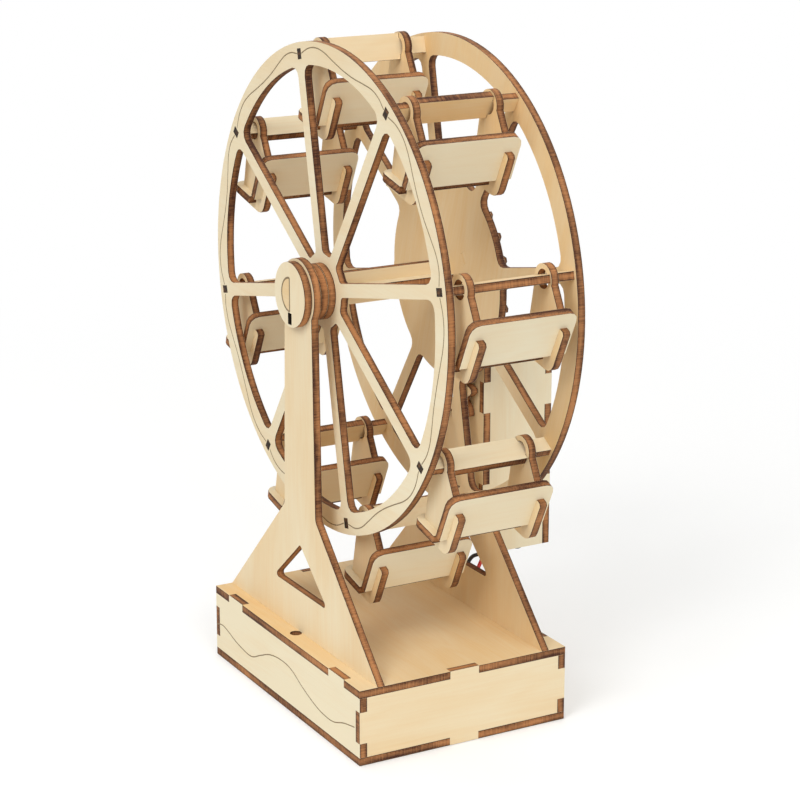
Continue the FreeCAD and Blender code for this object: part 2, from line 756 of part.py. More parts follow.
def cabin_board_face(length, slot_end):
    """Board drawn with its slotted edge low; x is along the axle."""
    r = BOARD_CORNER
    face = rounded_face([(-BOARD_HALF, BOARD_START, 0), (BOARD_HALF, BOARD_START, 0),
                         (BOARD_HALF, length, r), (-BOARD_HALF, length, r)])
    for s in (-1, 1):
        span = sorted((s * (PLATE_IN - g), s * (PLATE_IN + PLY + g)))
        face = face.cut(box_face(span[0], span[1], 0, slot_end))
    return face


def cabin_board(length, slot_end, board):
    """Turn the drawn board so that it lies along one arm of the V."""
    along, normal = board
    solid = lay_xy(cabin_board_face(length, slot_end), -PLY / 2)
    width = V(0, 1, 0)
    third = width.cross(along)
    solid.transformShape(FreeCAD.Matrix(width.x, along.x, third.x, CAB_CORNER.x,
                                        width.y, along.y, third.y, CAB_CORNER.y,
                                        width.z, along.z, third.z, CAB_CORNER.z,
                                        0, 0, 0, 1))
    return solid


plate_face = cabin_plate_face()
plates = Part.makeCompound([stand_xz(plate_face, -PLATE_IN - PLY), stand_xz(plate_face, PLATE_IN)])
boards = Part.makeCompound([cabin_board(BACK_LEN, BACK_SLOT, BACK), cabin_board(SEAT_LEN, SEAT_SLOT, SEAT)])
for k in range(STATIONS):
    place, angle = station(k)
    export(shift(plates, place.x, 0, place.z), "cabin_%d_end_plates" % (k + 1))
    export(shift(boards, place.x, 0, place.z), "cabin_%d_boards" % (k + 1))


# Battery tray with two cells.
tray_l = TRAY_LEN / 2
tray_w = TRAY_WID / 2
outline = [(-tray_l, -tray_w, TRAY_CORNER), (tray_l, -tray_w, TRAY_CORNER),
           (tray_l, tray_w, TRAY_CORNER), (-tray_l, tray_w, TRAY_CORNER)]
tray = shift(lay_xy(rounded_face(outline), PLY, TRAY_HGT), TRAY_X, 0, 0)
hollow = Part.makeBox(TRAY_LEN - 2 * TRAY_WALL, TRAY_WID - 2 * TRAY_WALL, TRAY_HGT,
                      V(TRAY_X - tray_l + TRAY_WALL, -tray_w + TRAY_WALL, PLY + TRAY_WALL))
export(tidy(tray.cut(hollow)), "battery_tray")
cell_z = PLY + TRAY_WALL + CELL_R + CELL_GAP
cells = []
for s in (-1, 1):
    at = V(TRAY_X - CELL_LEN / 2, s * (CELL_R + CELL_GAP), cell_z)
    body = stand_yz(sided_face(CELL_R, HOLE_SIDES, at.y, at.z), at.x, CELL_LEN - NUB_LEN)
    nub = stand_yz(sided_face(NUB_R, HOLE_SIDES, at.y, at.z), at.x + CELL_LEN - NUB_LEN, NUB_LEN)
    cell = body.fuse(nub)
    if s < 0:
        cell.rotate(V(TRAY_X, at.y, cell_z), V(0, 0, 1), 180)
    cells.append(cell.Solids[0])
export(Part.makeCompound(cells), "battery_cells")


# Slide switch behind the end plate, its knob reaching out through the slot.
end_in = -half_l + PLY
body = Part.makeBox(SWITCH_DEEP, SWITCH_WID, SWITCH_HGT,
                    V(end_in, -SWITCH_WID / 2, SWITCH_Z - SWITCH_HGT / 2))
room_y = (KNOB_W + KNOB_TRAVEL) / 2 + g
room_z = KNOB_H / 2 + g
body = body.cut(Part.makeBox(KNOB_IN + g, 2 * room_y, 2 * room_z, V(end_in, -room_y, SWITCH_Z - room_z)))
export(tidy(body), "switch_body")
knob_y = -KNOB_TRAVEL / 2
knob = Part.makeBox(KNOB_IN + PLY + KNOB_OUT, KNOB_W, KNOB_H,
                    V(-half_l - KNOB_OUT, knob_y - KNOB_W / 2, SWITCH_Z - KNOB_H / 2))
export(knob, "switch_knob")


# Wires: straight runs joined by tangent arcs, with a six sided section.
def cord(points, node):
    radii = []
    runs = [points[i + 1] - points[i] for i in range(len(points) - 1)]
    edges = []
    start = points[0]
    for i in range(1, len(points) - 1):
        before, after = V(runs[i - 1]), V(runs[i])
        turn = before.getAngle(after)
        shorter = min(before.Length, after.Length)
        before.normalize()
        after.normalize()
        r = BEND_SHARE * shorter / math.tan(turn / 2)
        reach = r * math.tan(turn / 2)
        p_in = points[i] - before * reach
        p_out = points[i] + after * reach
        inward = after - before
        inward.normalize()
        middle = points[i] + inward * (r / math.cos(turn / 2) - r)
        edges.append(Part.LineSegment(start, p_in).toShape())
        edges.append(Part.Arc(p_in, middle, p_out).toShape())
        start = p_out
        radii.append(round(r, 2))
    edges.append(Part.LineSegment(start, points[-1]).toShape())
    path = Part.Wire(edges)
    first = V(runs[0])
    first.normalize()
    across = first.cross(V(0, 1, 0) if abs(first.y) < 0.5 else V(1, 0, 0))
    across.normalize()
    other = first.cross(across)
    corners = []
    for i in range(WIRE_SIDES + 1):
        a = 2 * math.pi * (i % WIRE_SIDES + 0.5) / WIRE_SIDES
        corners.append(points[0] + across * (WIRE_D / 2 * math.cos(a)) + other * (WIRE_D / 2 * math.sin(a)))
    section = Part.makePolygon(corners)
    tube = path.makePipeShell([section], True, False)
    expected = Part.Face(section).Area * path.Length
    print("%s length %.2f radii %s volume ratio %.4f" % (node, path.Length, radii, tube.Volume / expected))
    export(tube.Solids[0], node)


black_y = WIRE_HOLE_Y - WIRE_SPLIT
red_y = WIRE_HOLE_Y + WIRE_SPLIT
tray_side = tray_w
switch_in = end_in + SWITCH_DEEP
tray_end = TRAY_X - tray_l
black = [V(5.6, MOTOR_Y + 7.2, STRAP_LOW), V(5.6, MOTOR_Y + 7.2, STRAP_LOW - 7.8),
         V(2.2, MOTOR_Y + 3.8, STRAP_LOW - 11.4), V(-7.0, MOTOR_Y - 2.5, STRAP_LOW - 8.8),
         V(-8.4, black_y + 3.2, BASE_HGT + 5.2), V(0.1, black_y, BASE_HGT + 2.0),
         V(0.1, black_y, 10), V(0.1, tray_side, 10)]
red = [V(-6.4, MOTOR_Y + 6.0, STRAP_LOW), V(-6.4, MOTOR_Y + 6.0, STRAP_LOW - 7.0),
       V(-5.6, MOTOR_Y - 1.4, STRAP_LOW - 12.8), V(-4.4, red_y + 1.7, BASE_HGT + 4.0),
       V(-0.1, red_y, BASE_HGT + 1.4), V(-0.1, red_y, 13),
       V(switch_in + 24, 23.5, 13), V(switch_in + 12, 3.0, SWITCH_Z), V(switch_in, 3.0, SWITCH_Z)]
free = tray_end - switch_in
lead = [V(switch_in, -3.0, SWITCH_Z), V(switch_in + 0.27 * free, -3.0, SWITCH_Z),
        V(switch_in + 0.46 * free, -12.5, 8.5), V(switch_in + 0.73 * free, -8, 10), V(tray_end, -8, 10)]
cord(black, "wire_black")
cord(red, "wire_red")
cord(lead, "switch_lead")
print("pinion centre height %.3f" % PINION_Z)
print("axle strip width %.3f" % AXLE_W)
for k in range(STATIONS):
    place, angle = station(k)
    print("station", k + 1, round(place.x, 3), round(place.z, 3), round(angle, 2))
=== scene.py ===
import math

import bpy
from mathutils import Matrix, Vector


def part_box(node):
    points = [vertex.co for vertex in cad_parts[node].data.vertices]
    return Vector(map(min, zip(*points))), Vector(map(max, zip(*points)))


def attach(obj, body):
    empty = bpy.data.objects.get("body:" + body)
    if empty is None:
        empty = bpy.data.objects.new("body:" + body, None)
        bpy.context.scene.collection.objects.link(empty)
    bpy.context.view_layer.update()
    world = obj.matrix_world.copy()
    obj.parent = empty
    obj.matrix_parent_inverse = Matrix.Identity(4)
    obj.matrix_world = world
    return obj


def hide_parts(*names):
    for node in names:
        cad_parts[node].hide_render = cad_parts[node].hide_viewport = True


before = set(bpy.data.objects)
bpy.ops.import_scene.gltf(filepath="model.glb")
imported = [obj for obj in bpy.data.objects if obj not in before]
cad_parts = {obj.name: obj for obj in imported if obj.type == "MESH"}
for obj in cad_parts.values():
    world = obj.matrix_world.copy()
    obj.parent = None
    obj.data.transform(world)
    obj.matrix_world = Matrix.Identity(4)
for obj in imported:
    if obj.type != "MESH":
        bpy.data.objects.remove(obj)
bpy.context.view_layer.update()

# Base box. Six sheets of birch plywood, 2.5 mm thick, cut by laser with fingers that
# lock into each other at every edge. The cut edges are burnt brown, and a wavy line
# is engraved on the front and the rear side.
PLY = 2.5
MM = 0.001
X, Y, Z = Vector((1, 0, 0)), Vector((0, 1, 0)), Vector((0, 0, 1))


class Tap:
    """An output socket of a node. Arithmetic on taps adds Math nodes."""

    def __init__(self, board, socket):
        self.board = board
        self.socket = socket

    def math(self, operation, *values):
        return self.board.place("ShaderNodeMath", {"operation": operation},
                                dict(enumerate(values)))

    def __add__(self, other):
        return self.math("ADD", self, other)

    __radd__ = __add__

    def __sub__(self, other):
        return self.math("SUBTRACT", self, other)

    def __rsub__(self, other):
        return self.math("SUBTRACT", other, self)

    def __mul__(self, other):
        return self.math("MULTIPLY", self, other)

    __rmul__ = __mul__

    def __truediv__(self, other):
        return self.math("DIVIDE", self, other)

    def __abs__(self):
        return self.math("ABSOLUTE", self)

    def __lt__(self, other):
        return self.math("LESS_THAN", self, other)

    def __gt__(self, other):
        return self.math("GREATER_THAN", self, other)


class Board:
    """A node tree whose nodes are all placed by one method."""

    def __init__(self, tree):
        self.tree = tree

    def place(self, kind, settings=None, sockets=None, give=0):
        """Add a node: first its settings, then its sockets, each a value or a tap."""
        node = self.tree.nodes.new(kind)
        for name, value in (settings or {}).items():
            setattr(node, name, value)
        for key, value in (sockets or {}).items():
            if isinstance(value, Tap):
                self.tree.links.new(value.socket, node.inputs[key])
            else:
                node.inputs[key].default_value = value
        return None if give is None else Tap(self, node.outputs[give])

    def dot(self, point, direction):
        return self.place("ShaderNodeVectorMath", {"operation": "DOT_PRODUCT"},
                          {0: point, 1: tuple(direction)}, give="Value")

    def combine(self, x, y, z):
        return self.place("ShaderNodeCombineXYZ", {}, {0: x, 1: y, 2: z})

    def noise(self, vector, scale, detail=2.0, distortion=0.0):
        return self.place("ShaderNodeTexNoise", {},
                          {"Vector": vector, "Scale": scale, "Detail": detail,
                           "Distortion": distortion})

    def blend(self, factor, first, second):
        """Colour mix: sockets 6 and 7 take the Mix node's colours, and 2 gives its result."""
        def rgba(colour):
            return colour if isinstance(colour, Tap) else (*colour, 1.0)
        return self.place("ShaderNodeMix", {"data_type": "RGBA"},
                          {0: factor, 6: rgba(first), 7: rgba(second)}, give=2)


def new_finish(name):
    """A material with an empty tree, and the board that its nodes go on."""
    material = bpy.data.materials.new(name)
    material.use_nodes = True
    material.node_tree.nodes.clear()
    return material, Board(material.node_tree)


def close_finish(board, uniform, varying, height=None, relief=0.0):
    """Principled shader with its sockets, and a bump that is relief millimetres deep."""
    sockets = {**uniform, **varying}
    if height is not None:
        sockets["Normal"] = board.place("ShaderNodeBump", {}, {
            "Strength": 1.0, "Distance": relief * MM, "Height": height})
    shader = board.place("ShaderNodeBsdfPrincipled", {}, sockets)
    board.place("ShaderNodeOutputMaterial", {}, {"Surface": shader}, give=None)


def object_point(board):
    """Object coordinates in millimetres."""
    coords = board.place("ShaderNodeTexCoord", give="Object")
    return board.place("ShaderNodeVectorMath", {"operation": "SCALE"},
                       {0: coords, "Scale": 1.0 / MM})


FACE_PALE = (0.83, 0.735, 0.53)
# The deeper veneer tone, also used as painted shade on faces that turn inwards.
FACE_DEEP = (0.75, 0.475, 0.190)
EDGE_PALE = (0.46, 0.200, 0.074)
EDGE_DARK = (0.056, 0.018, 0.008)
# Near black: char on burnt end grain, and painted shade in the caps' narrow slot.
SOOT_AND_SHADE = (0.020, 0.012, 0.007)

# Layers of one sheet, in shares of its thickness from its middle plane.
CORE_TO = 0.20
GLUE_AT, GLUE_HALF = 0.225, 0.03
RIM_FROM, RIM_DARK_FROM = 0.36, 0.43
FACE_FROM = 0.488


def plywood(name, depth, grain, across, seed, low, high, charred_and_shaded=None, clean=None):
    """Laser cut birch. depth gives millimetres from the low face, by whole sheets; low and
    high say how deep the tone is on the two faces: partly the veneer's own tone, partly
    painted shade on faces that turn inwards. The mark after them gives what is painted
    near black: char on burnt end grain, and painted shade in a narrow slot. clean marks
    cut ends that stay as pale as a face."""
    material, board = new_finish(name)
    point = object_point(board)
    along, sideways = board.dot(point, grain), board.dot(point, across)
    deep = depth(board, point) / PLY
    off_middle = abs(deep.math("FRACT", deep) - 0.5)
    edge = off_middle < FACE_FROM
    if clean:
        edge = edge * (1.0 - clean(board, point))

    def patches(by_length, by_width, third, detail, distortion=0.0):
        """Noise that has its own pace per millimetre along and across the grain."""
        place = board.combine(along * by_length, sideways * by_width, third)
        return board.noise(place, 1.0, detail, distortion)

    # Veneer: fibres, slow figure with its rings, clouds of deeper tone and dark flecks.
    layer = deep * 3.1 + seed * 7.3
    fibre = patches(0.06, 1.5, layer, 4.0, 0.3)
    figure = patches(0.011, 0.075, layer, 1.5, 0.6)
    rings = figure.math("SINE", figure * 46.0)
    cloud = patches(0.016, 0.05, layer, 2.0)
    fleck = patches(0.32, 3.0, layer, 1.0) > 0.69
    # Tone per face: partly the veneer's own, partly painted shade that is deeper on faces turned
    # inwards.
    tone_and_shade = low + (deep > 0.5) * (high - low)
    shade = tone_and_shade + (cloud - 0.5) * 0.8 + (fibre - 0.5) * 0.24 + rings * 0.035 + fleck * 0.06
    face = board.blend(shade, FACE_PALE, FACE_DEEP)

    # Cut edge: unevenly burnt, with a paler core, dark glue lines and the darkest rims.
    kerf = patches(0.8, 0.8, deep * 0.9 + seed, 3.0, 1.0)
    scorch = patches(0.045, 0.045, layer * 0.3, 3.0)
    streak = patches(2.2, 2.2, deep * 0.25 + seed, 2.0)
    core = off_middle < CORE_TO
    glue = abs(off_middle - GLUE_AT) < GLUE_HALF
    rim = (off_middle > RIM_FROM) + (off_middle > RIM_DARK_FROM)
    char = (0.50 + (kerf - 0.5) * 0.7 + (scorch - 0.5) * 2.6 + (streak - 0.5) * 1.1
            + core * 0.1 - glue * 0.2 - rim * 0.48)
    burnt = board.blend(char, EDGE_DARK, EDGE_PALE)
    # Near black over the cut edge: char on burnt ends, and painted shade in a narrow slot.
    if charred_and_shaded:
        burnt = board.blend(charred_and_shaded(board, point), burnt, SOOT_AND_SHADE)

    colour = board.blend(edge, face, burnt)
    rough = 0.60 + (fibre - 0.5) * 0.25 + edge * 0.12
    height = fibre * 0.35 * (1.0 - edge) + edge * (kerf * 0.8 - glue * 0.3)
    close_finish(board, {"Specular IOR Level": 0.28}, {"Base Color": colour, "Roughness": rough},
                 height, relief=0.06)
    return material


def sheet_depth(normal, start):
    """Depth past the face that lies at start along normal, in millimetres."""
    return lambda board, point: board.dot(point, normal) - start


def dress(node, material):
    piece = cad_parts[node]
    if not piece.material_slots:
        piece.data.materials.append(material)
    for place in piece.material_slots:
        place.material = material


def lay_sheet(node, normal, grain, across, seed, low, high, charred_and_shaded=None):
    """Plywood for a node that is one sheet, counted from its low face along normal."""
    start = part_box(node)[0].dot(normal) / MM
    dress(node, plywood(node + "_birch", sheet_depth(normal, start), grain, across,
                        seed, low, high, charred_and_shaded))


# Inner faces, and the top plate under the wheel, are deeper in tone: partly the veneer's own,
# partly painted shade.
lay_sheet("base_bottom_plate", Z, X, Y, seed=1.0, low=0.3, high=0.5)
lay_sheet("base_top_plate", Z, X, Y, seed=2.0, low=0.5, high=0.62)
lay_sheet("base_front_side", Y, X, Z, seed=3.0, low=0.0, high=0.5)
lay_sheet("base_rear_side", Y, X, Z, seed=4.0, low=0.5, high=0.2)
lay_sheet("base_end_plain", X, Y, Z, seed=5.0, low=0.5, high=0.33)
lay_sheet("base_end_switch", X, Y, Z, seed=6.0, low=0.27, high=0.5)


def tree_with_inputs(name, host, sizes):
    """An empty Geometry Nodes tree, its board, and a method that gives its named inputs."""
    tree = bpy.data.node_groups.new(name, "GeometryNodeTree")
    for size, kind in [(host, "Geometry")] + sizes:
        tree.interface.new_socket(size, in_out="INPUT", socket_type="NodeSocket" + kind)
    tree.interface.new_socket("Made", in_out="OUTPUT", socket_type="NodeSocketGeometry")
    board = Board(tree)
    given = tree.nodes.new("NodeGroupInput").outputs
    return tree, board, lambda size: Tap(board, given[size])


def close_tree(board, made, finish):
    """End a tree in plain geometry with its finish."""
    made = board.place("GeometryNodeRealizeInstances", {}, {"Geometry": made})
    made = board.place("GeometryNodeSetMaterial", {}, {"Geometry": made, "Material": finish})
    board.place("NodeGroupOutput", {}, {0: made}, give=None)


def line_tree():
    """Geometry Nodes: a thin line along a path drawn in the host's own plane."""
    tree, board, given = tree_with_inputs("engraved_line", "Path", [
        ("Width", "Float"), ("Height", "Float"), ("Step", "Float"), ("Place", "Vector"),
        ("Turn", "Vector"), ("Finish", "Material")])
    path = board.place("GeometryNodeMeshToCurve", {}, {"Mesh": given("Path")})
    path = board.place("GeometryNodeCurveSplineType", {"spline_type": "CATMULL_ROM"},
                       {"Curve": path})
    path = board.place("GeometryNodeResampleCurve", {"mode": "LENGTH"},
                       {"Curve": path, "Length": given("Step")})
    path = board.place("GeometryNodeSetCurveNormal", {"mode": "Z_UP"}, {"Curve": path})
    profile = board.place("GeometryNodeCurvePrimitiveQuadrilateral", {},
                          {"Width": given("Width"), "Height": given("Height")})
    line = board.place("GeometryNodeCurveToMesh", {},
                       {"Curve": path, "Profile Curve": profile, "Fill Caps": True})
    turn = board.place("FunctionNodeEulerToRotation", {}, {"Euler": given("Turn")})
    line = board.place("GeometryNodeTransform", {},
                       {"Geometry": line, "Translation": given("Place"), "Rotation": turn})
    close_tree(board, line, given("Finish"))
    return tree


def grown(name, tree, vertices, edges, sizes):
    """A plain mesh piece from a Geometry Nodes tree and the sizes given to it."""
    host = bpy.data.meshes.new(name)
    host.from_pydata([tuple(v) for v in vertices], edges, [])
    piece = bpy.data.objects.new(name, host)
    bpy.context.scene.collection.objects.link(piece)
    maker = piece.modifiers.new("maker", "NODES")
    maker.node_group = tree
    for socket in tree.interface.items_tree:
        if socket.in_out == "INPUT" and socket.name in sizes:
            maker[socket.identifier] = sizes[socket.name]
    view = bpy.context.evaluated_depsgraph_get()
    mesh = bpy.data.meshes.new_from_object(piece.evaluated_get(view))
    piece.modifiers.clear()
    piece.data = mesh
    return piece


def engraved_finish():
    """Soot brown of a line that the laser only scores into the veneer."""
    material, board = new_finish("engraved_line")
    soot = board.noise(object_point(board), 1.4, 3.0)
    colour = board.blend(soot, (0.15, 0.11, 0.06), (0.42, 0.32, 0.20))
    close_finish(board, {"Specular IOR Level": 0.1},
                 {"Base Color": colour, "Roughness": 0.8 + soot * 0.1})
    return material


LINE_TREE = line_tree()
SCORED = engraved_finish()
LINE_WIDTH, LINE_RISE, LINE_STEP = 0.34, 0.08, 0.7


def engrave(name, lines, place, body, width=LINE_WIDTH):
    """Score lines through (x, z) points, in millimetres, on a sheet that faces along Y."""
    vertices, edges = [], []
    for points in lines:
        first = len(vertices)
        edges += [(first + i, first + i + 1) for i in range(len(points) - 1)]
        vertices += [(x * MM, z * MM, 0.0) for x, z in points]
    sizes = {"Width": width * MM, "Height": LINE_RISE * MM, "Step": LINE_STEP * MM,
             "Place": tuple(v * MM for v in place), "Turn": (math.pi / 2, 0.0, 0.0),
             "Finish": SCORED}
    line = grown(name, LINE_TREE, vertices, edges, sizes)
    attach(line, body)


BASE_FRONT, BASE_REAR = -36.0, 36.0
front_wave = [(-49.8, 10.6), (-44.4, 11.6), (-34.0, 9.2), (-24.1, 8.4), (-17.0, 11.2),
              (-10.5, 13.8), (-3.0, 15.0), (4.6, 14.5), (13.0, 11.2), (20.9, 8.7),
              (27.0, 7.7), (33.1, 7.8), (40.0, 10.0), (46.7, 11.3)]
rear_wave = [(46.8, 12.2), (38.0, 14.4), (29.0, 13.0), (20.0, 9.6), (11.0, 8.2), (2.0, 10.4),
             (-7.0, 13.6), (-16.0, 14.2), (-25.0, 11.4), (-34.0, 8.8), (-42.0, 9.8),
             (-46.9, 11.8)]
engrave("front_side_line", [front_wave], (0, BASE_FRONT, 0), "frame")
engrave("rear_side_line", [rear_wave], (0, BASE_REAR, 0), "frame")


# Towers. Two upright birch sheets with spread feet and a round head, tabbed into the
# base. Each carries the axle in a plain round hole, and the rear one has slots for
# the motor box.
# The faces turned towards the wheel are deeper in tone: partly the veneer's own, partly painted
# shade.
lay_sheet("front_tower", Y, Z, X, seed=11.0, low=0.33, high=0.7)
lay_sheet("rear_tower", Y, Z, X, seed=12.0, low=0.6, high=0.2)


# Motor box. Two side sheets and a cover tabbed to the back of the rear tower. The
# cover has a small square window, a round cornered notch for the wires and one
# engraved wave.
# Inner faces are deeper in tone: partly the veneer's own, partly painted shade.
lay_sheet("motor_box_side_right", X, Z, Y, seed=13.0, low=0.6, high=0.1)
lay_sheet("motor_box_side_left", X, Z, Y, seed=14.0, low=0.25, high=0.6)
lay_sheet("motor_box_cover", Y, Z, X, seed=15.0, low=0.6, high=0.12)
COVER_BACK = 52.5
cover_wave = [(0.0, 74.0), (2.6, 77.5), (2.2, 81.5), (-1.6, 85.0), (-2.8, 89.0), (0.4, 92.6),
              (2.8, 96.0), (1.8, 99.8), (-0.6, 103.0)]
engrave("cover_line", [cover_wave], (0, COVER_BACK, 0), "frame")


# Geared motor. Two moulded yellow half shells screwed together hold the reduction
# gears; a steel can with two flats plugs into their lower end, and an amber cup with
# two bands holds the can to them.
def solid_mesh(name, vertices, faces, material, slot, body):
    mesh = bpy.data.meshes.new(name)
    mesh.from_pydata([tuple(c * MM for c in v) for v in vertices], [], faces)
    mesh.materials.append(material)
    piece = bpy.data.objects.new(name, mesh)
    bpy.context.scene.collection.objects.link(piece)
    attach(piece, body)
    return piece


def rounded_outline(x0, x1, z0, z1, corners, steps=5):
    """Points round a rectangle; corners are radii from low left, anticlockwise."""
    points = []
    places = ((x0, z0, 180), (x1, z0, 270), (x1, z1, 0), (x0, z1, 90))
    for (x, z, first), r in zip(places, corners):
        cx = x + r if x == x0 else x - r
        cz = z + r if z == z0 else z - r
        for i in range(steps + 1):
            a = math.radians(first + 90.0 * i / steps)
            points.append((cx + r * math.cos(a), cz + r * math.sin(a)))
    return points


def shell(outline, y0, y1, lip):
    """Closed slab along Y whose outer edges are broken by a small lip."""
    count = len(outline)

    def inset(amount):
        result = []
        for i, (x, z) in enumerate(outline):
            before, after = Vector(outline[i - 1]), Vector(outline[(i + 1) % count])
            tangent = (after - before).normalized()
            result.append((x - tangent.y * amount, z + tangent.x * amount))
        return result

    rings = [(inset(lip), y0), (inset(0.0), y0 + lip), (inset(0.0), y1 - lip), (inset(lip), y1)]
    vertices = [(x, y, z) for ring, y in rings for x, z in ring]
    faces = [tuple(range(count))]
    for r in range(3):
        for i in range(count):
            j = (i + 1) % count
            faces.append((r * count + i, (r + 1) * count + i,
                          (r + 1) * count + j, r * count + j))
    faces.append(tuple(reversed(range(3 * count, 4 * count))))
    return vertices, faces


def joined(parts):
    vertices, faces = [], []
    for part_vertices, part_faces in parts:
        base = len(vertices)
        vertices += part_vertices
        faces += [tuple(i + base for i in face) for face in part_faces]
    return vertices, faces


def round_post(x, z, radius, y0, y1, sides=20, lip=0.2):
    turns = [2 * math.pi * i / sides for i in range(sides)]
    outline = [(x + radius * math.cos(t), z + radius * math.sin(t)) for t in turns]
    return shell(outline, y0, y1, lip)


def yellow_plastic():
    material, board = new_finish("gear_shell_yellow")
    point = object_point(board)
    cloud = board.noise(point, 0.12, 2.0)
    grain = board.noise(point, 5.0, 2.0)
    colour = board.blend(cloud, (0.86, 0.53, 0.02), (0.93, 0.64, 0.05))
    close_finish(board, {"Specular IOR Level": 0.5},
                 {"Base Color": colour, "Roughness": 0.34 + grain * 0.12}, grain, relief=0.02)
    return material


SHELL_TOP = 107.02
SHELL_CORNERS, SHELL_LIP = (0.6, 0.6, 2.5, 2.5), 0.35
LINER_CORNERS, LINER_IN, LINER_LIP = (0.6, 0.6, 2.2, 2.2), 0.4, 0.05
SEAM_HALF = 0.12
SCREW_R, SCREWS = 2.1, ((-8.4, 104.0), (8.4, 104.0), (-8.4, 75.5), (8.4, 75.5))
BOSS_R, SHAFT_Z = 5.2, 95.72
POST_FOOT, POST_HEAD = 0.5, 0.02
LUG_HALF, LUG_TIP_HALF, LUG_ROOT, LUG_CHAMFER, LUG_LIP = 2.5, 1.5, 0.3, 1.0, 0.25

(left, front, bottom), (right, back, lug_top) = [[v / MM for v in corner]
                                                 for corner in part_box("gearbox_housing")]
seam = (front + back) / 2
shape = rounded_outline(left, right, bottom, SHELL_TOP, SHELL_CORNERS)
liner = rounded_outline(left + LINER_IN, right - LINER_IN, bottom + LINER_IN,
                        SHELL_TOP - LINER_IN, LINER_CORNERS)
parts = [shell(shape, front, seam - SEAM_HALF, SHELL_LIP),
         shell(shape, seam + SEAM_HALF, back, SHELL_LIP),
         shell(liner, seam - LINER_IN, seam + LINER_IN, LINER_LIP)]
for x, z in SCREWS:
    parts.append(round_post(x, z, SCREW_R, back - POST_FOOT, back - POST_HEAD))
parts.append(round_post(0.0, SHAFT_Z, BOSS_R, back - POST_FOOT, back - POST_HEAD, sides=32))
lug = [(-LUG_HALF, SHELL_TOP - LUG_ROOT), (LUG_HALF, SHELL_TOP - LUG_ROOT),
       (LUG_HALF, lug_top - LUG_CHAMFER), (LUG_TIP_HALF, lug_top),
       (-LUG_TIP_HALF, lug_top), (-LUG_HALF, lug_top - LUG_CHAMFER)]
parts.append(shell(lug, seam - LUG_HALF, seam + LUG_HALF, LUG_LIP))
housing = solid_mesh("gear_shells", *joined(parts), yellow_plastic(), "gear_yellow", "frame")
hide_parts("gearbox_housing")


def brushed_can():
    """Steel drawn along Z, so its marks are long that way."""
    material, board = new_finish("can_steel")
    point = object_point(board)
    place = board.combine(board.dot(point, X) * 3.0, board.dot(point, Y) * 3.0,
                          board.dot(point, Z) * 0.15)
    brush = board.noise(place, 1.0, 3.0)
    colour = board.blend(brush, (0.46, 0.45, 0.43), (0.66, 0.65, 0.62))
    close_finish(board, {"Metallic": 1.0},
                 {"Base Color": colour, "Roughness": 0.22 + brush * 0.2}, brush, relief=0.01)
    return material


def amber_plastic():
    material, board = new_finish("strap_amber")
    cloud = board.noise(object_point(board), 0.3, 2.0)
    colour = board.blend(cloud, (0.86, 0.30, 0.02), (0.95, 0.44, 0.05))
    close_finish(board, {"Transmission Weight": 0.25, "Coat Weight": 0.3, "Coat Roughness": 0.1},
                 {"Base Color": colour, "Roughness": 0.18 + cloud * 0.12})
    return material


def brass():
    material, board = new_finish("terminal_brass")
    cloud = board.noise(object_point(board), 0.9, 2.0)
    colour = board.blend(cloud, (0.62, 0.42, 0.14), (0.80, 0.62, 0.28))
    close_finish(board, {"Metallic": 1.0}, {"Base Color": colour, "Roughness": 0.25 + cloud * 0.2})
    return material


def milky_plastic():
    material, board = new_finish("shaft_white")
    cloud = board.noise(object_point(board), 0.5, 2.0)
    colour = board.blend(cloud, (0.80, 0.79, 0.72), (0.88, 0.87, 0.82))
    close_finish(board, {"Specular IOR Level": 0.5},
                 {"Base Color": colour, "Roughness": 0.32 + cloud * 0.1})
    return material


STEEL = brushed_can()
dress("motor_can", STEEL)
dress("motor_strap", amber_plastic())
dress("gearbox_shaft", milky_plastic())

# Solder tags, each just behind the point where its wire starts.
TAG_HALF, TAG_LOW, TAG_HIGH = 0.9, 43.6, 45.3
TAG_FROM, TAG_TO, TAG_LIP = 0.55, 0.9, 0.05
parts = []
for x, y in ((5.6, 47.0), (-6.4, 45.8)):
    tag = [(x - TAG_HALF, TAG_LOW), (x + TAG_HALF, TAG_LOW),
           (x + TAG_HALF, TAG_HIGH), (x - TAG_HALF, TAG_HIGH)]
    parts.append(shell(tag, y + TAG_FROM, y + TAG_TO, TAG_LIP))
solid_mesh("motor_terminals", *joined(parts), brass(), "can_steel", "frame")


# Wheel rings. Two birch rings of eight spokes each, keyed to the axle; the rear one
# has a wide closed hub for the drive gear. Their outer faces carry one scored wave
# between every two bar tabs.
WHEEL_Z, BAR_R, WHEEL_TURN = 133.0, 71.5, -11.6
STATIONS = 8
RING_FRONT, RING_REAR = -21.4, 23.9


def station_angle(k, past=0.0):
    """Radians from the top, clockwise from the front, at past degrees behind bar k."""
    return math.radians(WHEEL_TURN + 360.0 / STATIONS * k + past)


def directions(angle):
    """The way out from the axle at an angle, and the way along the turn."""
    return (Vector((math.sin(angle), 0, math.cos(angle))),
            Vector((math.cos(angle), 0, -math.sin(angle))))


# The two inner faces are deeper in tone: partly the veneer's own, partly painted shade.
lay_sheet("front_ring", Y, X, Z, seed=21.0, low=0.15, high=0.6)
lay_sheet("rear_ring", Y, Vector((0.26, 0, 0.97)), Vector((0.97, 0, -0.26)), seed=22.0,
          low=0.62, high=0.15)

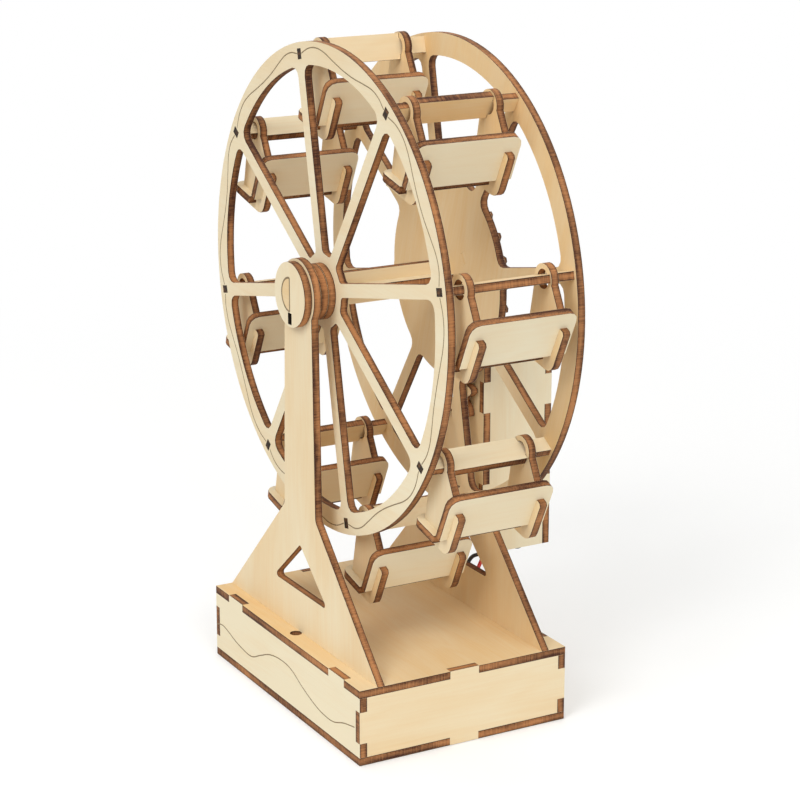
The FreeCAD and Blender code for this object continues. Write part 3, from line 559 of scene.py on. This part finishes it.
# Degrees past a bar, and millimetres out from the circle of the bars.
RING_WAVE = ((1.25, 0.1), (5.0, 1.4), (9.0, 1.7), (13.0, 0.9), (18.0, -0.7), (23.0, -1.6),
             (28.0, -1.5), (33.0, -0.3), (37.0, 0.9), (40.5, 1.1), (43.75, 0.2))
for name, y, lean in (("front_ring_lines", RING_FRONT, 0.0), ("rear_ring_lines", RING_REAR, 0.4)):
    lines = []
    for k in range(STATIONS):
        swell = 1.0 + 0.18 * math.sin(k * 2.3 + lean)
        points = []
        for past, rise in RING_WAVE:
            a, r = station_angle(k, past), BAR_R + rise * swell - lean * 0.3
            points.append((r * math.sin(a), r * math.cos(a)))
        lines.append(points)
    engrave(name, lines, (0, y, WHEEL_Z), "wheel")


# Bars. Eight birch strips join the rings by square tabs, charred black at their ends;
# the narrower neck near each end is where a cabin's ears hang.
SKIN = 0.04
# Tone per bar: partly random veneer tone, partly painted shade of bars that lie in the wheel's
# shade.
BAR_TONES_AND_SHADE = (0.28, 0.62, 0.50, 0.14, 0.40, 0.60, 0.42, 0.26)


def tab_ends(board, point):
    """Charred end grain that leaves a browner middle."""
    y = board.dot(point, Y)
    patch = board.noise(point, 0.55, 3.0)
    return ((y < RING_FRONT + SKIN) + (y > RING_REAR - SKIN)) * (patch * 1.9 - 0.05)


for k, tone_and_shade in enumerate(BAR_TONES_AND_SHADE):
    out, side = directions(station_angle(k))
    bar = "bar_%d" % (k + 1)
    dress(bar, plywood(bar + "_birch", sheet_depth(side, WHEEL_Z * side.z - PLY / 2), Y, out,
                       seed=31.0 + k, low=tone_and_shade, high=tone_and_shade, charred_and_shaded=tab_ends))


# Axle. Two birch strips slotted into each other as a cross, whose corners run in the
# towers' round holes. Two washers and a collar keep the wheel central, and a half
# round key at each end fills the opening of the cap.
def outward_depth(start):
    """Depth outwards from the two planes that lie start millimetres from the middle."""
    return lambda board, point: abs(board.dot(point, Y)) - start


KEY_FOOT = 30.2
dress("axle_upright_strip", plywood("axle_upright_birch", sheet_depth(X, -PLY / 2), Y, Z,
                                    seed=41.0, low=0.3, high=0.4))
dress("axle_flat_strip", plywood("axle_flat_birch", sheet_depth(Z, WHEEL_Z - PLY / 2), Y, X,
                                 seed=42.0, low=0.3, high=0.15))
dress("axle_washers", plywood("axle_washers_birch", outward_depth(-RING_FRONT), X, Z,
                              seed=43.0, low=0.5, high=0.5))
dress("axle_end_keys", plywood("axle_end_keys_birch", outward_depth(KEY_FOOT), X, Z,
                               seed=44.0, low=0.55, high=0.55))

CAP_SLOT_HALF, CAP_SLOT_TOP, CAP_SLOT_END = 1.5, -5.3, -9.5
CAP_FACE, KEY_R, KEY_KERF = -32.7, 5.2, 0.6


def slot_painted_shade(board, point):
    """The walls of the cap's narrow slot, painted near black: painted shade of the deep slot over
    their charred edge.
    """
    below = board.dot(point, Z) - WHEEL_Z
    return ((abs(board.dot(point, X)) < CAP_SLOT_HALF) * (below < CAP_SLOT_TOP)
            * (below > CAP_SLOT_END))


lay_sheet("axle_collar", Y, X, Z, seed=63.9, low=0.5, high=0.5)
# The caps' inner faces are deeper in tone, partly the veneer's own and partly painted shade; their
# slot walls get painted shade.
lay_sheet("front_cap", Y, Z, X, seed=77.7, low=0.15, high=0.5, charred_and_shaded=slot_painted_shade)
lay_sheet("rear_cap", Y, X, Z, seed=77.7, low=0.5, high=0.15, charred_and_shaded=slot_painted_shade)
lay_sheet("rear_cap_spacer", Y, X, Z, seed=75.2, low=0.5, high=0.2)

key_outline = [(-KEY_R * math.sin(math.radians(a)), KEY_R * math.cos(math.radians(a)))
               for a in range(0, 181, 9)]
key_outline += [(0.0, z) for z in (-5.0, -4.0, -2.0, 0.0, 2.0, 4.0, 5.0, KEY_R)]
engrave("front_key_kerf", [key_outline], (0, CAP_FACE, WHEEL_Z), "wheel", width=KEY_KERF)


# Gears. The 24 tooth drive gear is pinned to the rear ring by four birch pegs, and
# the 8 tooth pinion sits on the motor's flatted shaft.
# Its front face is deeper in tone: partly the veneer's own, partly painted shade.
lay_sheet("drive_gear", Y, Z, X, seed=51.0, low=0.6, high=0.15)
PEG_TURN, PEG_R = 67.5, 13.6
HUB_FACE, GEAR_BACK = 21.4, 26.4
peg_out, peg_side = directions(math.radians(PEG_TURN + WHEEL_TURN))


def peg_depth(board, point):
    """Pegs at quarter turns: the larger reach of the two peg directions is radial."""
    reach_out = abs(board.dot(point, peg_out) - WHEEL_Z * peg_out.z)
    reach_side = abs(board.dot(point, peg_side) - WHEEL_Z * peg_side.z)
    return reach_out.math("MAXIMUM", reach_out, reach_side) - (PEG_R - PLY / 2)


dress("gear_pins", plywood(
    "gear_pins_birch", peg_depth, Y, X, seed=52.0, low=0.62, high=0.62,
    charred_and_shaded=lambda board, point: board.dot(point, Y) > GEAR_BACK - SKIN,
    clean=lambda board, point: board.dot(point, Y) < HUB_FACE + SKIN))
# Its front face is deeper in tone: partly the veneer's own, partly painted shade.
lay_sheet("pinion", Y, X, Z, seed=53.0, low=0.6, high=0.3)


# Cabins. Each has two birch end plates with a round ear on the bar, and a back and a
# seat board pushed into crossed slots of the plates.
PLATE_IN = 12.5
CORNER = Vector((2.8, 0, -22.6))
BACK_FACES, SEAT_FACES = 64.0, 167.0
BACK_SLACK = 0.08


def board_depth(station):
    """Depth in the back board where the point is in it, and in the seat board elsewhere."""
    corner = station + CORNER

    def past_middle(board, point, degrees):
        a = math.radians(degrees)
        facing = Vector((math.sin(a), 0, -math.cos(a)))
        return board.dot(point, facing) - corner.dot(facing)

    def depth(board, point):
        to_back = past_middle(board, point, BACK_FACES)
        to_seat = past_middle(board, point, SEAT_FACES)
        in_back = abs(to_back) < PLY / 2 + BACK_SLACK
        return in_back * to_back + (1.0 - in_back) * to_seat + PLY / 2
    return depth


for k in range(STATIONS):
    out = directions(station_angle(k))[0]
    station = Vector((BAR_R * out.x, 0, WHEEL_Z + BAR_R * out.z))
    cabin = "cabin_%d_" % (k + 1)
    shift = 0.08 * math.sin(k * 1.7)
    # End plates are deeper on their inner faces and each board on one face: partly the veneer's own
    # tone, partly painted shade.
    dress(cabin + "end_plates", plywood(cabin + "plates_birch", outward_depth(PLATE_IN), Z, X,
                                        seed=61.0 + k, low=0.6 + shift, high=0.42 + shift))
    dress(cabin + "boards", plywood(cabin + "boards_birch", board_depth(station), Y,
                                    Vector((-0.5, 0, 0.85)), seed=71.0 + k,
                                    low=0.55 - shift, high=0.10 - shift))


# Batteries. A moulded black tray, fixed in the base, holds two cells side by side.
# Each cell is a steel can in a plain dark sleeve, with a nub at its plus end.
def black_plastic(name, base, rough):
    material, board = new_finish(name)
    point = object_point(board)
    grain = board.noise(point, 4.0, 3.0)
    cloud = board.noise(point, 0.15, 2.0)
    colour = board.blend(cloud, base, tuple(c * 1.8 + 0.004 for c in base))
    close_finish(board, {}, {"Base Color": colour, "Roughness": rough + grain * 0.15},
                 grain, relief=0.03)
    return material


BLACK = black_plastic("black_moulding", (0.016, 0.016, 0.017), 0.38)
dress("battery_tray", BLACK)
SLEEVE = black_plastic("cell_sleeve", (0.030, 0.045, 0.075), 0.25)
CELL_Y, CELL_Z, CELLS_MIDDLE_X = 7.1, 10.8, 15.0
# Stations along a cell: place and radius, for its sleeve and for the steel ends.
SLEEVE_STATIONS = [(-9.7, 5.9), (-9.5, 6.6), (-9.2, 6.85), (38.2, 6.85), (38.6, 6.6), (38.7, 5.6)]
END_STATIONS = [(-10.0, 4.6), (-9.9, 5.0), (-9.4, 5.0), (38.5, 5.0), (38.8, 4.9), (38.8, 2.7),
                (39.9, 2.6), (40.0, 2.3)]


def turned(stations, y, z, sides=28):
    """Round body along X from (x, radius) stations, closed at both ends."""
    vertices, faces = [], []
    for x, r in stations:
        for i in range(sides):
            t = 2 * math.pi * i / sides
            vertices.append((x, y + r * math.cos(t), z + r * math.sin(t)))
    for s in range(len(stations) - 1):
        for i in range(sides):
            j = (i + 1) % sides
            faces.append((s * sides + i, s * sides + j, (s + 1) * sides + j, (s + 1) * sides + i))
    last = (len(stations) - 1) * sides
    faces.append(tuple(reversed(range(sides))))
    faces.append(tuple(range(last, last + sides)))
    return vertices, faces


def cell(y, flip):
    """Sleeve and steel of one cell, turned end for end where flip is set."""
    def placed(stations):
        if flip:
            stations = [(2 * CELLS_MIDDLE_X - x, r) for x, r in reversed(stations)]
        return turned(stations, y, CELL_Z)
    return placed(SLEEVE_STATIONS), placed(END_STATIONS)


near, far = cell(-CELL_Y, True), cell(CELL_Y, False)
vertices, faces = joined([near[0], far[0], near[1], far[1]])
cells = solid_mesh("cell_pair", vertices, faces, SLEEVE, "cell_jacket", "frame")
cells.data.materials.append(STEEL)
sleeve_faces = len(near[0][1]) + len(far[0][1])
for i, polygon in enumerate(cells.data.polygons):
    polygon.material_index = 0 if i < sleeve_faces else 1
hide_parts("battery_cells")


# Switch. A small slide switch behind the left end sheet; its ridged knob reaches out
# through the slot and travels 3 mm.
dress("switch_body", BLACK)
(tip, knob_y0, knob_z0), (root, knob_y1, knob_z1) = [[v / MM for v in corner]
                                                     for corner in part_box("switch_knob")]
RIDGE_COUNT, RIDGE_PITCH, RIDGE_WIDTH, RIDGE_TALL, RIDGE_DEEP = 4, 0.8, 0.34, 2.5, 0.5
KNOB_BACK, KNOB_LIP = 0.35, 0.18
outline = [(tip + KNOB_BACK, knob_z0), (root, knob_z0), (root, knob_z1), (tip + KNOB_BACK, knob_z1)]
knob = solid_mesh("slide_knob", *shell(outline, knob_y0, knob_y1, KNOB_LIP), BLACK,
                  "black_plastic", "switch_knob")
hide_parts("switch_knob")


def ridge_tree():
    """Geometry Nodes: equal ridges in a row."""
    tree, board, given = tree_with_inputs("ridge_row", "Host", [
        ("Count", "Int"), ("Start", "Vector"), ("Pitch", "Vector"), ("Ridge", "Vector"),
        ("Finish", "Material")])
    row = board.place("GeometryNodeMeshLine", {},
                      {"Count": given("Count"), "Start Location": given("Start"),
                       "Offset": given("Pitch")})
    ridge = board.place("GeometryNodeMeshCube", {}, {"Size": given("Ridge")})
    row = board.place("GeometryNodeInstanceOnPoints", {}, {"Points": row, "Instance": ridge})
    close_tree(board, row, given("Finish"))
    return tree


ridges = grown("knob_ridges", ridge_tree(), [(0, 0, 0)], [], {
    "Count": RIDGE_COUNT,
    "Start": ((tip + RIDGE_DEEP / 2) * MM, (knob_y0 + RIDGE_PITCH / 2) * MM,
              (knob_z0 + knob_z1) / 2 * MM),
    "Pitch": (0.0, RIDGE_PITCH * MM, 0.0),
    "Ridge": (RIDGE_DEEP * MM, RIDGE_WIDTH * MM, RIDGE_TALL * MM),
    "Finish": BLACK})
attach(ridges, "switch_knob")


# Wires. Two thin stranded leads, black and red, leave the motor's terminals, drop
# through the round hole behind the rear tower and end in the tray and the switch; a
# short lead joins the switch to the tray.
def wire_jacket(name, base, bright):
    material, board = new_finish(name)
    point = object_point(board)
    cloud = board.noise(point, 0.4, 2.0)
    grain = board.noise(point, 6.0, 2.0)
    close_finish(board, {"Specular IOR Level": 0.5},
                 {"Base Color": board.blend(cloud, base, bright), "Roughness": 0.30 + grain * 0.14},
                 grain, relief=0.01)
    return material


def wire(name, node, points, material):
    """A limp lead on the frame, whose smooth line runs by the points, in metres."""
    curve = bpy.data.curves.new(name, "CURVE")
    curve.dimensions = "3D"
    spline = curve.splines.new("NURBS")
    spline.points.add(len(points) - 1)
    for point, place in zip(spline.points, points):
        point.co = (*place, 1.0)
    spline.order_u = 3
    spline.use_endpoint_u = True
    spline.resolution_u = 10
    curve.bevel_depth = 0.00065
    curve.bevel_resolution = 4
    curve.use_fill_caps = True
    curve.materials.append(material)
    piece = bpy.data.objects.new(name, curve)
    bpy.context.scene.collection.objects.link(piece)
    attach(piece, "frame")
    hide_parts(node)


RED = wire_jacket("red_jacket", (0.55, 0.012, 0.010), (0.70, 0.030, 0.022))
DARK = wire_jacket("black_jacket", (0.012, 0.012, 0.013), (0.028, 0.028, 0.030))
wire("black_lead", "wire_black", [
    (0.0056, 0.0470, 0.04522), (0.0070, 0.0475, 0.0405), (-0.0026, 0.0473, 0.0387),
    (-0.0051, 0.0447, 0.0362), (-0.0045, 0.0384, 0.0367), (-0.0077, 0.0357, 0.0349),
    (-0.0072, 0.0331, 0.0267), (0.0001, 0.0310, 0.0262), (0.0001, 0.0310, 0.010),
    (0.0001, 0.0155, 0.010)], DARK)
wire("red_lead", "wire_red", [
    (-0.0064, 0.0458, 0.04522), (-0.0070, 0.0446, 0.0404), (-0.0066, 0.0412, 0.0364),
    (-0.0053, 0.0380, 0.0318), (-0.0042, 0.0348, 0.0274), (-0.0009, 0.0329, 0.0262),
    (-0.0001, 0.0325, 0.0224), (-0.0001, 0.0325, 0.013), (-0.0175, 0.0235, 0.013),
    (-0.0295, 0.003, 0.012), (-0.0415, 0.003, 0.012)], RED)
wire("tray_lead", "switch_lead", [
    (-0.0415, -0.003, 0.012), (-0.034075, -0.003, 0.012), (-0.02885, -0.0125, 0.0085),
    (-0.021425, -0.008, 0.010), (-0.014, -0.008, 0.010)], RED)


# Studio.
def seen_by_camera(board):
    """1 on rays from the camera, also by way of a mirror or through glass."""
    seen = board.place("ShaderNodeLightPath", give="Is Camera Ray")
    for name in ("Is Glossy Ray", "Is Transmission Ray"):
        seen = seen.math("MAXIMUM", seen, board.place("ShaderNodeLightPath", give=name))
    return seen


def glow(board, kind, seen, unseen_colour, seen_colour):
    """Light of one colour on the object, and of another where it is looked at."""
    colour = board.blend(seen, unseen_colour, seen_colour)
    return board.place(kind, {}, {"Color": colour, "Strength": 1.0})


WHITE = (1.0, 1.0, 1.0)
PAPER = (0.79, 0.80, 0.81, 1.0)
PAPER_TO, WHITE_FROM = 0.16, 0.55


def sweep_finish():
    material, board = new_finish("white_sweep")
    seen = seen_by_camera(board)
    coords = board.place("ShaderNodeTexCoord", give="Object")
    away = board.place("ShaderNodeVectorMath", {"operation": "LENGTH"}, {0: coords}, give="Value")
    fade = board.place("ShaderNodeMapRange", {"interpolation_type": "SMOOTHSTEP"},
                       {"Value": away, "From Min": PAPER_TO, "From Max": WHITE_FROM})
    paper = board.place("ShaderNodeBsdfDiffuse", {}, {"Color": PAPER})
    lift = glow(board, "ShaderNodeEmission", seen, (0.0, 0.0, 0.0), (0.22, 0.22, 0.22))
    close = board.place("ShaderNodeAddShader", {}, {0: paper, 1: lift})
    distant = glow(board, "ShaderNodeEmission", seen, (0.5, 0.5, 0.5), WHITE)
    shader = board.place("ShaderNodeMixShader", {}, {0: fade, 1: close, 2: distant})
    board.place("ShaderNodeOutputMaterial", {}, {"Surface": shader}, give=None)
    return material


SWEEP_HALF, SWEEP_Z = 4, -0.0002
sweep = bpy.data.meshes.new("sweep")
sweep.from_pydata([(-SWEEP_HALF, -SWEEP_HALF, SWEEP_Z), (SWEEP_HALF, -SWEEP_HALF, SWEEP_Z),
                   (SWEEP_HALF, SWEEP_HALF, SWEEP_Z), (-SWEEP_HALF, SWEEP_HALF, SWEEP_Z)],
                  [], [(0, 1, 2, 3)])
sweep.materials.append(sweep_finish())
floor = bpy.data.objects.new("sweep", sweep)
bpy.context.scene.collection.objects.link(floor)

sky = bpy.data.worlds.new("studio")
bpy.context.scene.world = sky
sky.use_nodes = True
sky.node_tree.nodes.clear()
board = Board(sky.node_tree)
light = glow(board, "ShaderNodeBackground", seen_by_camera(board), (0.56, 0.55, 0.53), WHITE)
board.place("ShaderNodeOutputWorld", {}, {"Surface": light}, give=None)


def point_at(holder, place, target):
    holder.location = place
    holder.rotation_euler = (Vector(target) - Vector(place)).to_track_quat("-Z", "Y").to_euler()
    bpy.context.scene.collection.objects.link(holder)


def soft_lamp(name, place, size, power, colour):
    lamp = bpy.data.lights.new(name, "AREA")
    lamp.shape = "DISK"
    lamp.size = size
    lamp.energy = power
    lamp.color = colour
    point_at(bpy.data.objects.new(name, lamp), place, (0, 0, 0.10))


soft_lamp("key", (0.55, -1.15, 1.15), size=0.9, power=12.4, colour=(1.0, 1.0, 0.99))
soft_lamp("side", (1.40, -0.20, 0.70), size=0.8, power=7.0, colour=(1.0, 1.0, 0.99))
soft_lamp("top", (-0.25, 0.15, 1.5), size=1.2, power=5.0, colour=WHITE)

# The camera stands where the fitted one does; the picture is enlarged and centred.
FITTED_LENS, ENLARGED = 75.45, 1.42
lens = bpy.data.cameras.new("camera")
lens.sensor_width = 36.0
lens.lens = FITTED_LENS * ENLARGED
lens.shift_x = 0.019
lens.shift_y = -0.045
lens.clip_start = 0.02
lens.clip_end = 20.0
camera = bpy.data.objects.new("camera", lens)
point_at(camera, (0.6228, -0.3430, 0.3034), (0.0, 0.0, 0.1071))
bpy.context.scene.camera = camera
bpy.context.scene.view_settings.view_transform = "Standard"
